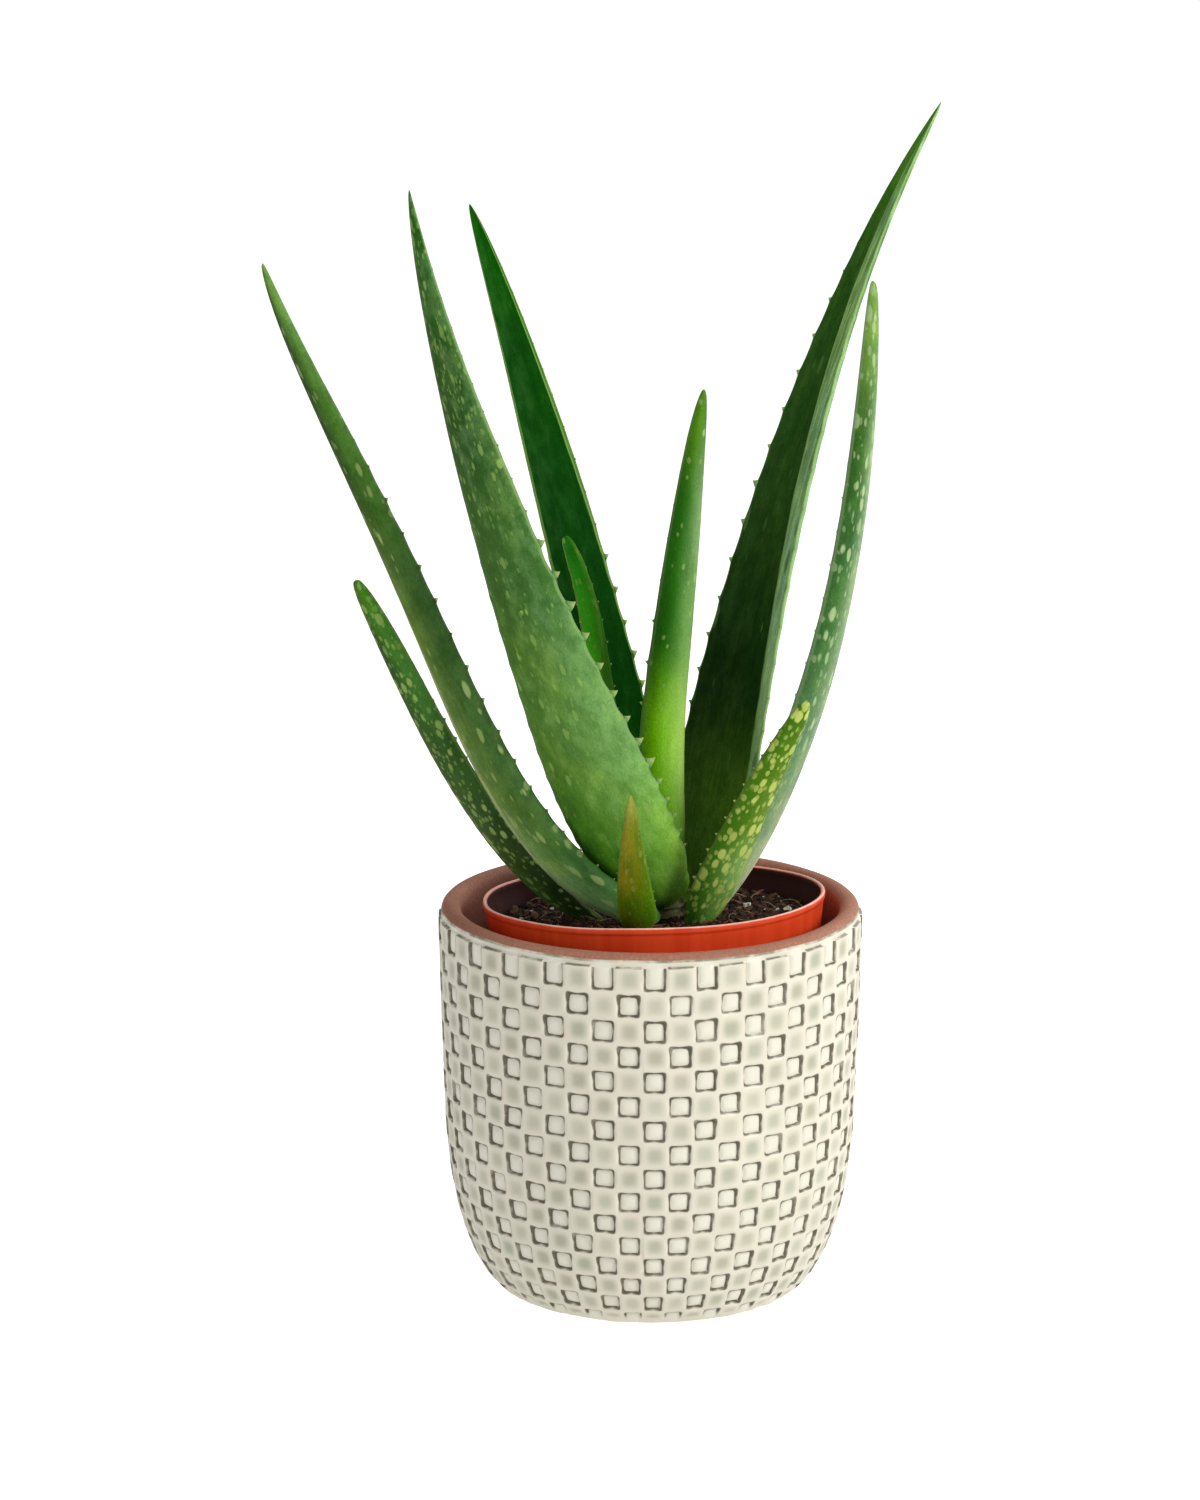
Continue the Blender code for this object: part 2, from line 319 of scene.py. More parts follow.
# Lengths are in millimetres and turns in degrees, as in the imported model. left, right and inside are colours
# at five places from the root to the tip; a pair of tooth values is for the two margins. The colours carry
# painted light with the leaf's own colour: the right side lighter and the left darker as light falls from the
# right, and painted shade low down where the leaves crowd.
leafPlans = {
    "leafFarLeft": dict(
        slot="leaf_grey_green", root=(-7, -18, 142), heading=192, tilt=(62, -8, 43, 18),
        face=(239, 239), length=266, width=19, thickness=7, taper=0.53, heel=12, toothPitch=(8, 13),
        toothStart=(12, 9), toothSize=(1.2, 0.4), scallop=0.4,
        left=[(146, 192, 122), (100, 132, 55), (92, 124, 50), (38, 72, 6), (30, 62, 4)],
        right=[(56, 108, 38), (52, 92, 30), (36, 78, 15), (63, 114, 20), (98, 146, 58)],
        inside=[(34, 58, 20), (40, 70, 24), (44, 78, 26), (48, 88, 30), (60, 110, 36)],
        fold=dict(start=(0.5, 0.8), low=(140, 164, 112), high=(62, 90, 26), streak=(186, 196, 158),
            share=0.8, ridge=0.5), margin=(130, 120, 78), marginWidth=0.06, marginToward=-1.0,
        mottle=0.8, gloss=0.14, bloom=0.06, spots=(0.7, 0.15, 0.7), spotsToward=-0.6,
        spotColour=(160, 182, 110), spotSize=(1.0, 3.6),
    ),
    "leafLowLeft": dict(
        slot="leaf_spotted", root=(-26, -4, 138.5), heading=197, tilt=(50, 31, 21, 29), face=(222, 243),
        length=146, width=17, thickness=5, taper=0.34, heel=14, toothSize=(0.9, 1.1), toothFade=0.75,
        left=[(70, 120, 52), (66, 92, 34), (54, 84, 26), (34, 73, 5), (68, 102, 28)],
        right=[(24, 40, 14), (40, 66, 20), (45, 86, 26), (71, 132, 45), (64, 135, 17)],
        inside=[(20, 38, 10), (26, 50, 14), (30, 60, 18), (36, 72, 20), (44, 96, 24)],
        margin=(86, 118, 52), streaks=0.4, spots=(0.75, 0.9, 1.0), spotColour=(154, 186, 96),
        spotSize=(1.3, 2.4),
    ),
    "leafFrontBroad": dict(
        slot="leaf_grey_green", root=(2, -9, 148), heading=222, tilt=(34, 20, 27, 12), face=(268, 214),
        length=278, width=44, thickness=9, taper=0.73, heel=11, toothPitch=(6, 13), toothStart=(11, 8),
        toothSize=(2.6, 0.25), toothFade=0.62, scallop=1.2,
        left=[(52, 128, 20), (80, 126, 40), (58, 102, 22), (38, 80, 7), (45, 104, 3)],
        right=[(140, 206, 66), (108, 160, 76), (62, 114, 40), (34, 88, 6), (34, 100, 3)],
        inside=[(38, 70, 20), (46, 84, 26), (50, 92, 30), (46, 90, 26), (42, 88, 20)],
        margin=(128, 164, 96), marginWidth=0.025, mottle=1.0, streaks=0.25, gloss=0.14, bloom=0.2,
        spots=(0.08, 0.22, 1.0), spotsToward=-0.15, spotColour=(146, 184, 90), spotSize=(1.0, 2.6),
    ),
    "leafBackLeft": dict(
        slot="leaf_dark_green", root=(-1, 10, 147), heading=140, tilt=(12, 21, 19, 27), face=(132, 116),
        length=245, width=34, thickness=8, taper=0.64, toothPitch=(6, 12), toothStart=(10, 8),
        toothSize=(0.9, 1.8), toothFade=0.55, scallop=0.6,
        left=[(48, 100, 24), (60, 120, 34), (70, 130, 40), (60, 120, 30), (50, 110, 20)],
        right=[(48, 100, 24), (60, 120, 34), (70, 130, 40), (60, 120, 30), (50, 110, 20)],
        inside=[(6, 60, 3), (4, 66, 2), (8, 70, 5), (9, 70, 4), (12, 82, 3)],
        fold=dict(start=(1.0, 0.8), low=(40, 100, 24), high=(60, 120, 24), streak=(96, 150, 60),
            share=0.8, ridge=0.9), margin=(136, 176, 92), mottle=1.0, gloss=0.02, spots=(0.0, 0.0, 0.0),
        spotColour=(84, 128, 62), spotSize=(1.3, 3.0),
    ),
    "leafInnerLeft": dict(
        slot="leaf_fresh_green", root=(-3, 2, 153), heading=158, tilt=(27, 3, -1, 28), face=(133, 125),
        length=119, width=14, thickness=4, taper=0.32, heel=3, toothSize=(1.0, 1.0), toothFade=1.1,
        left=[(44, 100, 14), (50, 108, 20), (56, 114, 26), (60, 120, 28), (66, 130, 30)],
        right=[(44, 100, 14), (50, 108, 20), (56, 114, 26), (60, 120, 28), (66, 130, 30)],
        inside=[(40, 116, 8), (44, 130, 8), (64, 160, 15), (46, 138, 9), (20, 104, 2)],
        fold=dict(start=(-0.1, 0.5), low=(84, 146, 44), high=(50, 120, 14), streak=(96, 156, 56),
            share=0.9, ridge=0.2), margin=(120, 156, 70), gloss=0.03, spots=(0.3, 0.4, 0.2),
        spotColour=(110, 150, 60), spotSize=(1.2, 2.6), streaks=0.3,
    ),
    "leafCentre": dict(
        slot="leaf_fresh_green", root=(6, -2, 154), heading=320, tilt=(-16, 23, 1, 13), face=(305, 289),
        length=172, width=20, thickness=9, taper=0.49, heel=4, toothPitch=(13, 15), toothStart=(90, 58),
        toothSize=(0.2, 1.4), toothFade=0.6,
        # the bright yellow-green low on this leaf is painted glow, for light shining through it
        left=[(124, 202, 10), (128, 206, 9), (37, 112, 2), (40, 114, 2), (88, 146, 10)],
        right=[(46, 86, 8), (168, 208, 100), (115, 163, 84), (131, 166, 106), (60, 112, 20)],
        inside=[(48, 90, 14), (48, 96, 16), (46, 94, 18), (44, 90, 16), (42, 88, 14)],
        margin=(110, 150, 70), marginWidth=0.03, bloom=0.05, spots=(0.0, 0.1, 0.2), spotsToward=0.4,
        spotColour=(160, 190, 110), spotSize=(1.1, 2.2), streaks=0.3,
    ),
    "leafBackRight": dict(
        slot="leaf_dark_green", root=(16, 8, 142), heading=40, tilt=(11, 17, 22, 41), face=(60, 29),
        length=295, width=40, thickness=9, taper=0.74, toothPitch=(8, 14), toothStart=(14, 11),
        toothSize=(1.6, 0.7), toothFade=0.85, scallop=0.6,
        left=[(160, 205, 130), (190, 240, 160), (152, 196, 154), (100, 154, 86), (114, 167, 78)],
        right=[(120, 166, 96), (108, 156, 88), (96, 144, 80), (84, 132, 64), (92, 142, 58)],
        inside=[(101, 150, 50), (22, 57, 12), (38, 78, 20), (38, 83, 19), (69, 128, 28)],
        fold=dict(start=(0.82, 0.1), low=(150, 196, 142), high=(82, 136, 60), streak=(164, 206, 152),
            share=0.95, ridge=0.8), margin=(150, 186, 112), marginWidth=0.03, mottle=0.9, streaks=0.8,
        gloss=0.05, spots=(0.04, 0.1, 0.16), spotColour=(84, 116, 56), spotSize=(1.0, 5.0),
    ),
    "leafRightCurved": dict(
        slot="leaf_grey_green", root=(19.5, -2.6, 138), heading=348, tilt=(33, 17, 4, 3),
        face=(319, 319), length=234, width=17, thickness=7, taper=0.39, heel=8, toothPitch=(7, 12),
        toothStart=(14, 10), toothSize=(0.5, 0.9), scallop=0.2,
        left=[(160, 194, 142), (104, 146, 94), (60, 114, 50), (48, 98, 24), (116, 160, 66)],
        right=[(214, 230, 200), (134, 158, 130), (148, 176, 142), (142, 176, 130), (106, 148, 66)],
        inside=[(44, 74, 26), (54, 88, 36), (58, 92, 40), (56, 92, 36), (56, 98, 30)],
        margin=(134, 164, 112), marginWidth=0.03, mottle=0.7, gloss=0.18, bloom=0.08,
        spots=(0.6, 0.9, 1.0), spotsToward=0.3, spotColour=(182, 208, 150), spotSize=(1.0, 3.2),
    ),
    "leafLowRight": dict(
        slot="leaf_spotted", root=(17, -13.8, 137.5), heading=318, tilt=(28, 28, 29, 34),
        face=(292, 300), length=98, width=18, thickness=5, taper=0.36, heel=9, toothPitch=(4.5, 7.5),
        toothStart=(8, 6), toothSize=(1.0, 1.3), toothFade=1.2,
        left=[(64, 122, 26), (64, 120, 20), (66, 118, 14), (68, 118, 3), (64, 114, 2)],
        right=[(126, 180, 80), (142, 190, 106), (106, 144, 38), (90, 129, 5), (68, 110, 2)],
        inside=[(30, 54, 12), (38, 66, 14), (44, 74, 16), (46, 80, 12), (50, 86, 10)],
        margin=(88, 116, 40), marginWidth=0.04, streaks=0.2, bloom=0.0, spots=(1.0, 1.0, 0.9),
        spotColour=(204, 218, 112), spotSize=(1.5, 2.5), spotReach=(0.3, 0.48),
    ),
    "leafFrontSmall": dict(
        slot="leaf_red_tinged", root=(-3.5, -27, 137.8), heading=258, tilt=(40, 20, 6, 1),
        face=(270, 270), length=54, width=16, thickness=4, taper=0.65, heel=7, toothPitch=(3.5, 5),
        toothStart=(8, 7), toothSize=(0.5, 0.5), toothFade=1.2, scallop=0.12,
        left=[(70, 84, 8), (97, 130, 10), (117, 124, 9), (132, 134, 26), (176, 182, 75)],
        right=[(90, 136, 19), (84, 132, 7), (87, 118, 3), (100, 122, 4), (145, 140, 50)],
        inside=[(32, 58, 10), (50, 66, 12), (66, 66, 14), (78, 70, 20), (90, 84, 30)],
        warm=(1.2, 0.72, 0.7), margin=(104, 144, 40), marginWidth=0.09, mottle=1.0, bloom=0.0,
        spots=(0.7, 0.25, 0.1), spotColour=(150, 150, 70), spotSize=(0.8, 1.4), streaks=0.3,
    ),
}


def leafSkin(name, look):
    material, shader = newMaterial(name + "Skin")
    place = attribute("skinPlace", 1)  # millimetres over the leaf: round it, along it
    along = attribute("along")
    across = attribute("across")
    inner = attribute("inner")
    tooth = attribute("tooth")
    stations = (0.02, 0.25, 0.5, 0.75, 0.97)

    def graded(side):
        return rampOf(along, [(at, paint(*colour)) for at, colour in zip(stations, getattr(look, side))])

    def stretched(round_, along_):
        return vectorCalc("MULTIPLY", place, (round_, along_, 1))

    def around(value, swing):
        # a noise's 0.3 to 0.7 becomes 1 - swing to 1 + swing
        return ease(value, 0.3, 0.7, 1 - swing, 1 + swing)

    broad = cloud(stretched(0.07, 0.025), 1.0, 3, 0.55)
    patchy = cloud(stretched(0.2, 0.1), 1.0, 5, 0.62)
    streak = cloud(stretched(0.75, 0.05), 1.0, 3, 0.6)
    fine = cloud(stretched(1.3, 0.7), 1.5, 3, 0.65)
    sideways = across + (broad - 0.5) * 0.7
    # painted light: the right ramp is the lit side and the left ramp the shaded side, on top of the leaf's own
    # colour
    colour = mix(ease(sideways, -0.75, 0.85), graded("left"), graded("right"))
    colour = mix(inner, colour, graded("inside"))
    # a side that curls round to the front, past a pale ridge
    ridge = 0.0
    if look.fold:
        fold = SimpleNamespace(**look.fold)
        past = across * -1 - ease(along, 0.15, 0.9, *fold.start) + (streak - 0.5) * 0.08
        folded = rampOf(along, [(0.1, paint(*fold.low)), (0.9, paint(*fold.high))])
        folded = mix(ease(streak, 0.35, 0.7, 0, 0.6), folded, paint(*fold.streak))
        colour = mix(ease(past, -0.03, 0.05, 0, fold.share), colour, folded)
        ridge = ease(abs(past), 0.06, 0.0, 0, fold.ridge)
    # waxy bloom in soft patches, and painted sheen towards the lit edge
    bloomAndSheen = ease(patchy + across * 0.12, 0.42, 0.68, 0, look.bloom)
    colour = mix(bloomAndSheen, colour, paint(132, 166, 120))
    # cloudy patches, partly the leaf's own mottling and partly painted glossy highlights, long faint stripes
    # and a fine grain
    tone = around(patchy, 0.2 * look.mottle) * around(streak, 0.16 * look.streaks)
    tone = tone * around(fine, 0.14) * around(broad, 0.08)
    colour = vectorCalc("MULTIPLY", colour, vectorOf(tone, tone, tone))
    warmer = ease(broad * 0.6 + patchy * 0.4, 0.46, 0.62, 0, 0.7 * look.mottle)
    colour = mix(warmer, colour, mix(1.0, colour, (*look.warm, 1), "MULTIPLY"))
    colour = mix(ridge, colour, paint(*look.margin))
    # pale oval spots, each in its own cell: large ones, and small ones between them
    low, middle, high = look.spots
    share = ease(along, 0.1, 0.5, low, middle) + ease(along, 0.5, 0.85, 0, high - middle)
    toward = look.spotsToward
    share = share * ease(across * toward, -0.4, 0.4 * abs(toward) + 0.1, 1 - abs(toward), 1)
    wide, long = look.spotSize
    spot = 0.0
    for size, strength, shift in ((1.0, 0.9, 0.0), (0.55, 0.55, 40.0)):
        cell = vectorCalc("ADD", stretched(0.42 / wide / size, 0.42 / long / size), (shift, shift, 0))
        wobble = vectorCalc("SUBTRACT", cloud(cell, 2.2, 2.0, out=1), (0.5, 0.5, 0.5))
        wobble = add("ShaderNodeVectorMath", {0: wobble, "Scale": 0.22}, operation="SCALE")
        cells = node("ShaderNodeTexVoronoi", {
            "Vector": vectorCalc("ADD", cell, wobble), "Scale": 1.0, "Randomness": 0.9})
        sizeLuck, standLuck, paleLuck = partsOf(Wire(cells.outputs["Color"]))
        reach = ease(sizeLuck, 0.0, 1.0, *look.spotReach)
        here = ease(reach - Wire(cells.outputs["Distance"]), -0.05, 0.1)
        here = here * calc("LESS_THAN", standLuck, share) * ease(paleLuck, 0, 1, 0.5 * strength, strength)
        spot = calc("MAXIMUM", spot, here)
    colour = mix(spot, colour, paint(*look.spotColour))
    # small dry scuffs
    scuff = ease(cloud(stretched(0.9, 0.6), 0.7, 6, 0.78), 0.66, 0.76)
    colour = mix(scuff * (0.3 * look.mottle), colour, paint(*look.spotColour))
    # margins and teeth
    width = look.marginWidth
    rimShare = ease(abs(across), 1 - 1.6 * width, 1 - 0.2 * width, 0, 0.7)
    favoured = across * look.marginToward
    rimShare = rimShare * ease(favoured, -0.5, -0.1)
    colour = mix(rimShare, colour, paint(*look.margin))
    ivory = mix(ease(tooth, 0.6, 0.95), paint(166, 186, 116), paint(164, 138, 84))
    colour = mix(ease(tooth, 0.05, 0.5), colour, ivory)
    height = streak * (0.4 * look.streaks) + fine * 0.3
    height = height + patchy * 0.5
    height = height + spot * 0.15
    shine = ease(broad, 0.3, 0.7, 0.4, 0.5) + fine * 0.14
    coat(shader, colour, shine, height, 0.4 * mm, Specular_IOR_Level=look.gloss)
    return material


def bezierValue(values, share):
    back = 1 - share
    weights = (back**3, 3 * share * back**2, 3 * share**2 * back, share**3)
    return sum(value * weight for value, weight in zip(values, weights))


def toothShares(plan, side):
    # where teeth stand, as shares of the length: close together at the root, further apart above
    near, far = plan.toothPitch
    at, found = plan.toothStart[side], []
    while at < 0.94 * plan.length:
        found.append(at / plan.length)
        at += near + (far - near) * min(1, 3 * at / plan.length)
        if at > 0.75 * plan.length:
            at -= 0.2 * far
    return np.array(found)


def leafShape(name, plan):
    form = leafForm
    count = form["rings"]
    even = np.arange(count) / count
    shares = 0.55 * even + 0.45 * (1 - (1 - even) ** 2)
    sides = [toothShares(plan, 0), toothShares(plan, 1)]
    # a ring moves onto each tooth, so that the points between teeth stay crisp
    for tooth in np.concatenate(sides):
        nearest = int(np.argmin(abs(shares - tooth)))
        if 0 < nearest < count - 1:
            shares[nearest] = tooth
    shares = np.sort(shares)
    heading = math.radians(plan.heading)

    def directionAt(share):
        tilt = np.radians(bezierValue(plan.tilt, share))
        flat = np.sin(tilt)
        return np.stack([flat * math.cos(heading), flat * math.sin(heading), np.cos(tilt)], -1)

    steps = 2400
    path = np.cumsum(directionAt((np.arange(steps) + 0.5) / steps) * plan.length / steps, axis=0)
    path = np.vstack([[0, 0, 0], path]) + np.array(plan.root)
    stepShares = np.arange(steps + 1) / steps
    centres = np.stack([np.interp(shares, stepShares, path[:, axis]) for axis in range(3)], -1)
    direction = directionAt(shares)
    face = np.radians(plan.face[0] + (plan.face[1] - plan.face[0]) * shares)
    outward = np.stack([np.cos(face), np.sin(face), 0 * face], -1)
    outward -= direction * (outward * direction).sum(-1, keepdims=True)
    outward /= np.linalg.norm(outward, axis=-1, keepdims=True)
    sideways = np.cross(direction, outward)
    swell = 1 - (1 - form["rootShare"]) * np.exp(-shares / form["rootSwell"])
    size = (1 - shares) ** plan.taper * swell
    # slow unevenness, as in any grown leaf
    seed = plan.root[0] * 3.1 + plan.length
    wave = np.array([noise.noise(Vector((seed, 6 * share, 0.5))) for share in shares])
    half = plan.width / 2 * size * (1 + 0.03 * wave)
    bulge = plan.thickness * size**0.7 * (1 + 0.06 * np.roll(wave, 9))

    def scallops(side):
        # the margin draws in between its teeth, most midway
        teeth = sides[side]
        after = np.clip(np.searchsorted(teeth, shares + 1e-9), 1, len(teeth) - 1)
        between = np.clip((shares - teeth[after - 1]) / (teeth[after] - teeth[after - 1]), 0, 1)
        fade = np.clip((0.97 - shares) / 0.1, 0, 1) * np.clip((shares - teeth[0]) / 0.02, 0, 1)
        fade *= np.clip((plan.toothFade - shares) / 0.12, 0.15, 1)
        return (plan.scallop * min(1, plan.toothSize[side]) * np.sin(np.pi * between) ** 0.7 * fade)[:, None]

    # one ring: the bulging outer side, then the slightly hollow inner side
    turns = np.pi * np.arange(form["bellyPoints"]) / (form["bellyPoints"] - 1)
    flat = -1 + 2 * (np.arange(form["hollowPoints"]) + 1) / (form["hollowPoints"] + 1)
    flat = np.sin(flat * np.pi / 2)
    xs = np.r_[np.cos(turns), flat]
    isInner = np.r_[0 * turns, 0 * flat + 1]
    perRing = len(xs)
    pull = np.where(xs > 0, scallops(0), scallops(1)) * np.sign(xs) * abs(xs) ** 5
    where = half[:, None] * xs - pull
    lip = form["edge"] * np.minimum(1, size * 1.5)
    outs = np.hstack([
        np.outer(bulge, np.sin(turns) ** 0.9),
        np.outer(bulge * form["hollowShare"], 1 - flat**2) - np.outer(lip, 1 - flat**8),
    ])
    ripple = 0.25 * np.array([
        [noise.noise(Vector((seed + 0.12 * x, 0.02 * share * plan.length, 7 * o)))
         for x, o in zip(row, isInner)] for row, share in zip(where, shares)
    ])
    outs = outs + ripple * np.sqrt(np.clip(1 - xs**2, 0, 1))
    rings = centres[:, None] + where[..., None] * sideways[:, None] + outs[..., None] * outward[:, None]
    lengths = np.repeat(shares * plan.length, perRing).reshape(count, perRing)
    place = np.stack([where * 1.15 + 60 * isInner, lengths, isInner * 31 + 0 * where + seed], -1)
    # the heel: rings that round the leaf off into the stem
    heelPoint = centres[0] - direction[0] * plan.heel - outward[0] * 1.5
    downTo = np.arange(form["heelRings"] - 1, 0, -1)[:, None, None]
    turn = math.pi / 2 * downTo / form["heelRings"]
    heel = centres[0] + (heelPoint - centres[0]) * np.sin(turn) + (rings[0] - centres[0]) * np.cos(turn)
    rings = np.concatenate([heel, rings])
    place = np.concatenate([place[0] - np.array([0, 1.2, 0]) * downTo, place])
    extra, rows = len(heel), len(rings)
    tip = centres[-1] + direction[-1] * plan.length * (1 - shares[-1])
    points = np.vstack([rings.reshape(-1, 3), heelPoint, tip]) * mm
    last = (rows - 1) * perRing
    around = [(a, (a + 1) % perRing) for a in range(perRing)]
    faces = [(low + a, low + b, low + perRing + b, low + perRing + a)
             for low in range(0, last, perRing) for a, b in around]
    for a, b in around:
        faces += [(b, a, rows * perRing), (last + a, last + b, rows * perRing + 1)]
    shape = meshOf(name, points, faces)
    storePoints(shape, "across", np.r_[np.tile(xs, rows), 0, 0])
    storePoints(shape, "along", np.r_[np.repeat(np.r_[[shares[0]] * extra, shares], perRing), 0, 1])
    storePoints(shape, "inner", np.r_[np.tile(isInner, rows), 0, 0])
    storePoints(shape, "skinPlace", np.vstack([place.reshape(-1, 3), place[0][0], place[-1][0]]))
    # teeth: their size, and which way they grow
    toothSize, grow, climb = np.zeros(len(points)), 0 * points, 0 * points
    for side, start, way in ((0, 0, 1), (1, form["bellyPoints"] - 1, -1)):
        for tooth in sides[side]:
            ring = int(np.argmin(abs(shares - tooth)))
            if size[ring] * plan.width < 3:
                continue
            at = (ring + extra) * perRing + start
            fade = min(1, 0.45 + 2.2 * shares[ring]) * min(1, (1 - shares[ring]) * 1.8 + 0.15)
            fade *= np.clip((plan.toothFade - shares[ring]) / 0.12, 0.3, 1)
            toothSize[at] = plan.toothSize[side] * fade
            grow[at], climb[at] = sideways[ring] * way, direction[ring]
    for label, values in dict(toothSize=toothSize, grow=grow, climb=climb).items():
        storePoints(shape, label, values)
    return shape


def marginTeethTree():
    sizes = newNodeTree(
        "marginTeeth", base=0.85, thickness=0.42, lean=0.55, unevenness=0.3, seed=4, skin="material"
    )
    cone = add("GeometryNodeMeshCone", {
        "Vertices": 8, "Side Segments": 4, "Fill Segments": 1, "Depth": 1.0,
        "Radius Top": 0.0, "Radius Bottom": 1.0,
    }, fill_type="NGON")
    # the cone is one unit high: it narrows, leans towards the tip of the leaf and sinks into the margin
    x, y, up = partsOf(add("GeometryNodeInputPosition"))
    bent = vectorOf(x * sizes.base + sizes.lean * up**1.6, y * sizes.thickness, up * 1.25 - 0.3)
    cone = add("GeometryNodeSetPosition", {"Geometry": cone, "Position": bent})
    cone = add("GeometryNodeSetShadeSmooth", {"Geometry": store(cone, "tooth", up)})

    def named(label, kind="FLOAT_VECTOR"):
        return add("GeometryNodeInputNamedAttribute", {"Name": label}, data_type=kind)

    size = named("toothSize", "FLOAT")
    seats = add("GeometryNodeMeshToPoints", {
        "Mesh": sizes.Geometry, "Selection": calc("GREATER_THAN", size, 0.01)}, mode="VERTICES")
    turn = add("FunctionNodeAlignRotationToVector", {"Vector": named("grow")}, axis="Z")
    turn = add("FunctionNodeAlignRotationToVector", {
        "Rotation": turn, "Vector": named("climb")}, axis="X", pivot_axis="Z")
    spread = 1.0 + sizes.unevenness * chance(-1.0, 1.0, sizes.seed)
    teeth = add("GeometryNodeInstanceOnPoints", {
        "Points": seats, "Instance": cone, "Rotation": turn, "Scale": size * spread * mm})
    both = node("GeometryNodeJoinGeometry", {0: teeth})
    feed(both.inputs[0], sizes.Geometry)
    return finishTree(Wire(both.outputs[0]), sizes.skin)


teethTree = marginTeethTree()
for name, values in leafPlans.items():
    plan = SimpleNamespace(**leafHabit | values)
    cadNode = "".join("_" + letter.lower() if letter.isupper() else letter for letter in name)
    leaf = newPiece(name, leafShape(name, plan))
    runNodes(leaf, teethTree, skin=leafSkin(name, plan), seed=int(plan.length))
    handOver(leaf, plan.slot, cadNode)
    print("grew", name, len(leaf.data.polygons), "faces")


# cachepot

cachepot = dict(
    columns=52, rows=16, turn=1.3, footRadius=47, rim=7.5, floor=6.5,
    reliefFoot=2.8, reliefTop=136.2, lowerRows=0.085, glazeTop=138.3, rimDepth=135,
    relief=0.95, dish=0.35, pillow=0.55, groove=0.35, unevenness=0.12,
)
potLow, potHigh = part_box("cachepot")
potHeight, potRadius = (potHigh.z - potLow.z) / mm, (potHigh.x - potLow.x) / 2 / mm


def bend(start, startHandle, endHandle, end, count):
    corners = [Vector((*point, 0)) for point in (start, startHandle, endHandle, end)]
    return [(point.x, point.y) for point in interpolate_bezier(*corners, count)]


def cachepotProfile():
    foot = cachepot["footRadius"]
    opening = potRadius - cachepot["rim"]
    rise = potHeight - 140
    line = [(0.001, 1.3), (20, 1.3), (38, 1.2), (41, 0.4), (43, 0.05)]
    line += bend((foot - 2, 0), (foot + 1, 0), (foot + 3, 0.6), (foot + 5, 2.2), 7)
    line += bend((foot + 6, 2.8), (62, 9), (70.4, 30), (71.7, 68), 40)[1:]
    line += bend((71.7, 68), (72.4, 88), (73.1, 105), (73.5, 128), 14)[1:]
    line += [(73.6, 134.2), (73.55, 136 + rise), (73.2, 136.5 + rise)]
    line += bend((73.5, 137 + rise), (73.8, 141.2 + rise),
                 (opening - 0.2, 141.2 + rise), (opening, 137 + rise), 15)
    line += bend((opening - 0.3, 134), (65.6, 110), (65.2, 90), (65, 68), 8)[1:]
    line += bend((65, 68), (63, 20), (54, cachepot["floor"]), (38, cachepot["floor"]), 14)[1:]
    line += [(20, cachepot["floor"]), (0.001, cachepot["floor"])]
    return line


